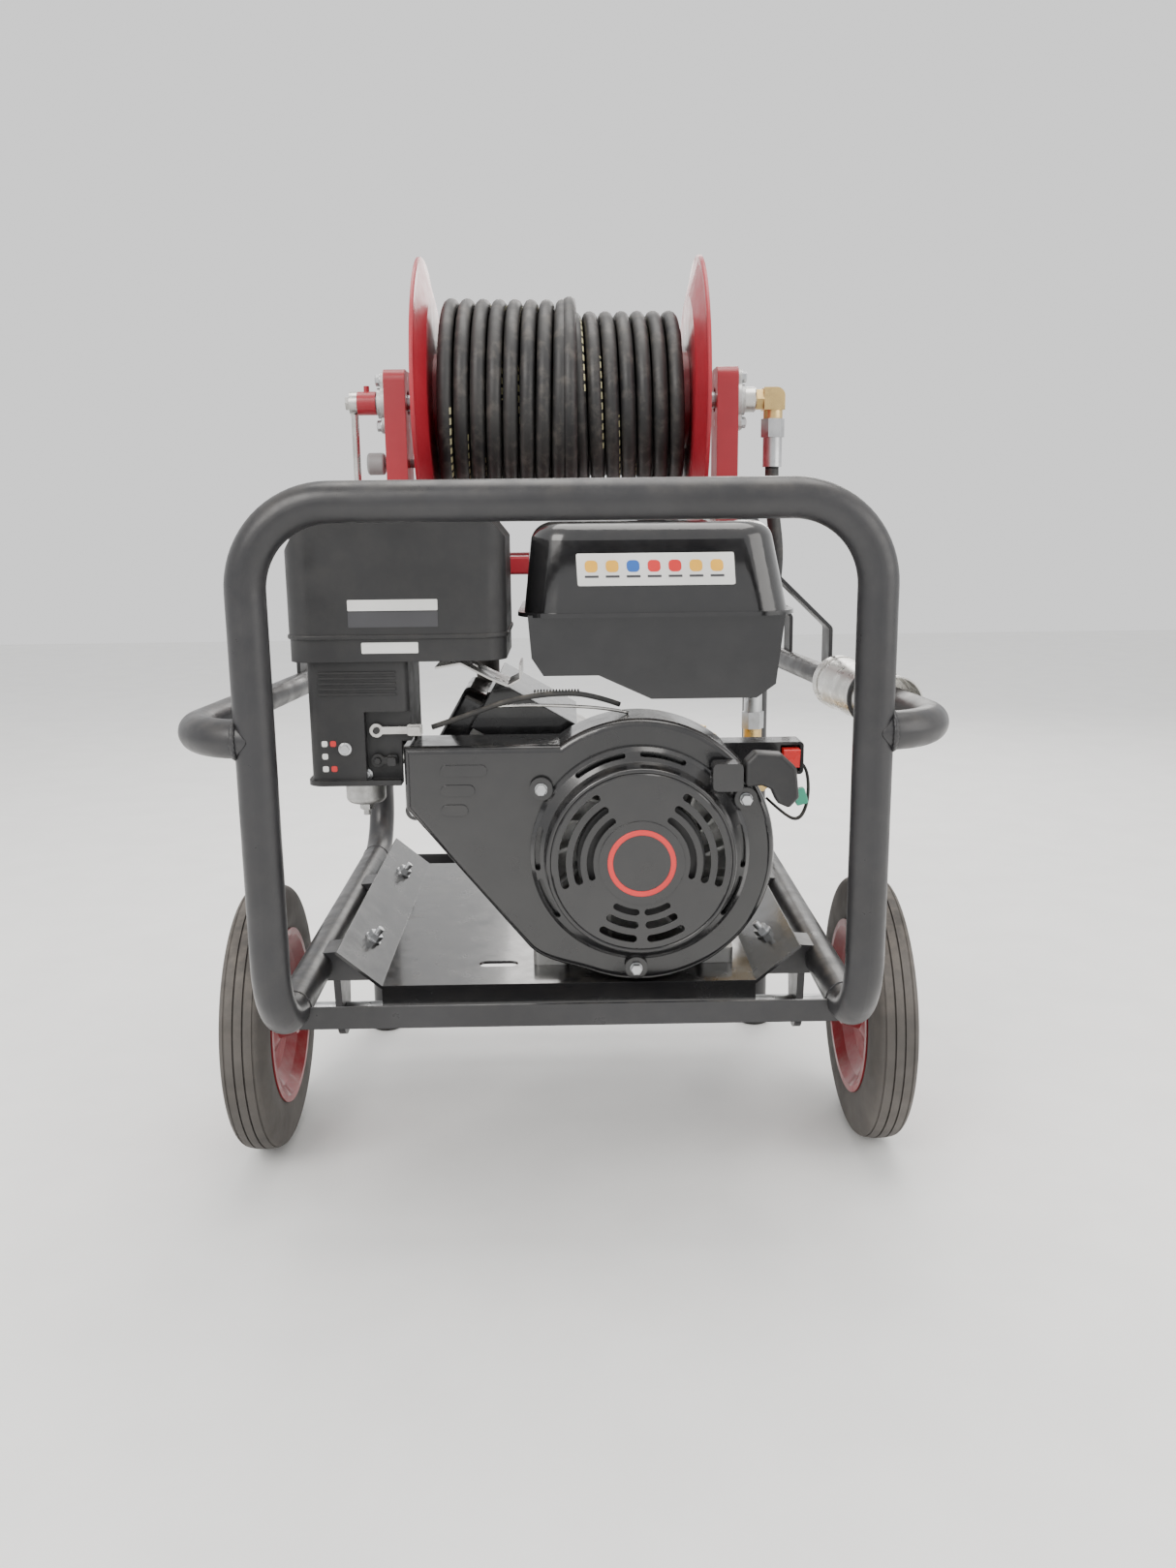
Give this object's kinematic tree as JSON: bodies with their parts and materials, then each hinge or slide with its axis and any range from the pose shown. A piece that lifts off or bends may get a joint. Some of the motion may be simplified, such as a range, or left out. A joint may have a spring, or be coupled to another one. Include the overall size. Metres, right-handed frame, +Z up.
{
  "type": "petrol pressure washer trolley with hose reel",
  "caption": "Petrol-engine pressure washer in a wheeled tube cage, with a crank-operated hose reel above the engine.",
  "frame": {"origin": "on the ground, under the centre of the tube cage", "axes": "+X to the viewer's right as seen from the starter side, +Y from the starter to the pump, +Z up"},
  "size_m": [0.74, 0.714, 0.99],
  "materials": {
    "cage_black": "satin",
    "sleeve_steel": "brushed",
    "foot_rubber": "matt",
    "axle_steel": "satin",
    "tyre_rubber": "matt, dusty tread",
    "rim_red": "satin",
    "bed_black": "gloss",
    "engine_alloy": "cast",
    "engine_black": "satin",
    "tank_black": "gloss",
    "black_plastic": "matt",
    "carb_metal": "cast",
    "muffler_black": "matt, heat resistant",
    "brass": "satin",
    "switch_red": "gloss",
    "reel_red": "gloss",
    "hose_black": "satin",
    "fitting_steel": "zinc plated",
    "knob_grey": "matt"
  },
  "bodies": {
    "frame": {"front_hoop": "cage_black", "rear_hoop": "cage_black", "base_rails": "cage_black", "cross_members": "cage_black", "side_rails": "cage_black", "rail_sleeve": "sleeve_steel", "stand_legs": "cage_black", "stand_feet": "foot_rubber", "axle": "axle_steel", "axle_brackets": "cage_black", "axle_nuts": "axle_steel", "engine_bed": "bed_black", "rubber_mounts": "foot_rubber", "mount_bolts": "axle_steel", "crankcase": "engine_alloy", "cylinder_head": "engine_alloy", "valve_cover": "engine_black", "fan_shroud": "engine_black", "recoil_housing": "engine_black", "engine_bolts": "axle_steel", "fuel_tank": "tank_black", "air_filter_cover": "black_plastic", "air_filter_base": "black_plastic", "control_housing": "black_plastic", "carburettor": "carb_metal", "float_bowl": "carb_metal", "muffler": "muffler_black", "heat_shield": "axle_steel", "pump_body": "engine_alloy", "pump_head": "brass", "unloader": "brass", "reel_stand": "reel_red", "reel_brackets": "cage_black", "reel_bearings": "carb_metal", "reel_bolts": "axle_steel", "swivel": "sleeve_steel", "brass_elbow": "brass", "hose_couplings": "fitting_steel", "jumper_hose": "hose_black"},
    "wheel_left": {"tyre_left": "tyre_rubber", "rim_left": "rim_red"},
    "wheel_right": {"tyre_right": "tyre_rubber", "rim_right": "rim_red"},
    "crank_train": {"crankshaft": "axle_steel", "flywheel": "engine_alloy"},
    "starter_pulley": {"recoil_pulley": "black_plastic"},
    "starter_grip": {"recoil_grip": "black_plastic"},
    "rocker": {"stop_switch": "switch_red"},
    "cap": {"fuel_cap": "black_plastic"},
    "choke": {"choke_lever": "black_plastic"},
    "fuel_tap": {"fuel_lever": "black_plastic"},
    "pressure_knob": {"unloader_knob": "black_plastic"},
    "reel": {"reel_drum": "reel_red", "reel_shaft": "axle_steel", "wound_hose": "hose_black", "hose_end_fitting": "fitting_steel", "crank_hub": "reel_red", "crank_arm": "axle_steel"},
    "handle": {"crank_grip": "black_plastic"},
    "brake": {"lock_knob": "knob_grey"}
  },
  "joints": [
    {"name": "wheel_left_spin", "type": "hinge", "parent": "frame", "child": "wheel_left", "pos_m": [-0.345, -0.0175, 0.15], "axis": [1, 0, 0], "continuous": true},
    {"name": "wheel_right_spin", "type": "hinge", "parent": "frame", "child": "wheel_right", "pos_m": [0.345, -0.0175, 0.15], "axis": [1, 0, 0], "continuous": true},
    {"name": "crank_spin", "type": "hinge", "parent": "frame", "child": "crank_train", "pos_m": [0.069, 0, 0.394], "axis": [0, 1, 0], "continuous": true},
    {"name": "starter_pull", "type": "slide", "parent": "frame", "child": "starter_grip", "axis": [1, 0, 0], "range_m": [0, 0.5], "stiffness_N_per_m": 10, "springref_m": -0.3},
    {"name": "pulley_spin", "type": "hinge", "parent": "frame", "child": "starter_pulley", "pos_m": [0.069, -0.248, 0.394], "axis": [0, 1, 0], "range_deg": [0, 522.9]},
    {"name": "rocker_tilt", "type": "hinge", "parent": "frame", "child": "rocker", "pos_m": [0.217, -0.191, 0.477], "axis": [1, 0, 0], "range_deg": [-22, 0]},
    {"name": "cap_turn", "type": "hinge", "parent": "frame", "child": "cap", "pos_m": [0.096, -0.087, 0.71], "axis": [0, 0, 1], "range_deg": [0, 90]},
    {"name": "choke_swing", "type": "hinge", "parent": "frame", "child": "choke", "pos_m": [-0.178, -0.214, 0.513], "axis": [0, -1, 0], "range_deg": [0, 14]},
    {"name": "fuel_tap_swing", "type": "hinge", "parent": "frame", "child": "fuel_tap", "pos_m": [-0.178, -0.214, 0.484], "axis": [0, -1, 0], "range_deg": [-30, 30]},
    {"name": "pressure_knob_turn", "type": "hinge", "parent": "frame", "child": "pressure_knob", "pos_m": [0.228, 0.18, 0.4], "axis": [0, 1, 0], "range_deg": [0, 270]},
    {"name": "reel_spin", "type": "hinge", "parent": "frame", "child": "reel", "pos_m": [0, 0.112, 0.836], "axis": [1, 0, 0], "continuous": true},
    {"name": "handle_spin", "type": "hinge", "parent": "reel", "child": "handle", "pos_m": [-0.29, 0.112, 0.698], "axis": [1, 0, 0], "continuous": true},
    {"name": "brake_push", "type": "slide", "parent": "frame", "child": "brake", "axis": [1, 0, 0], "range_m": [0, 0.004], "stiffness_N_per_m": 400, "springref_m": -0.01}
  ],
  "couplings": [
    {"joint": "pulley_spin", "follows": "starter_pull", "rad_per_m": 18.182}
  ]
}
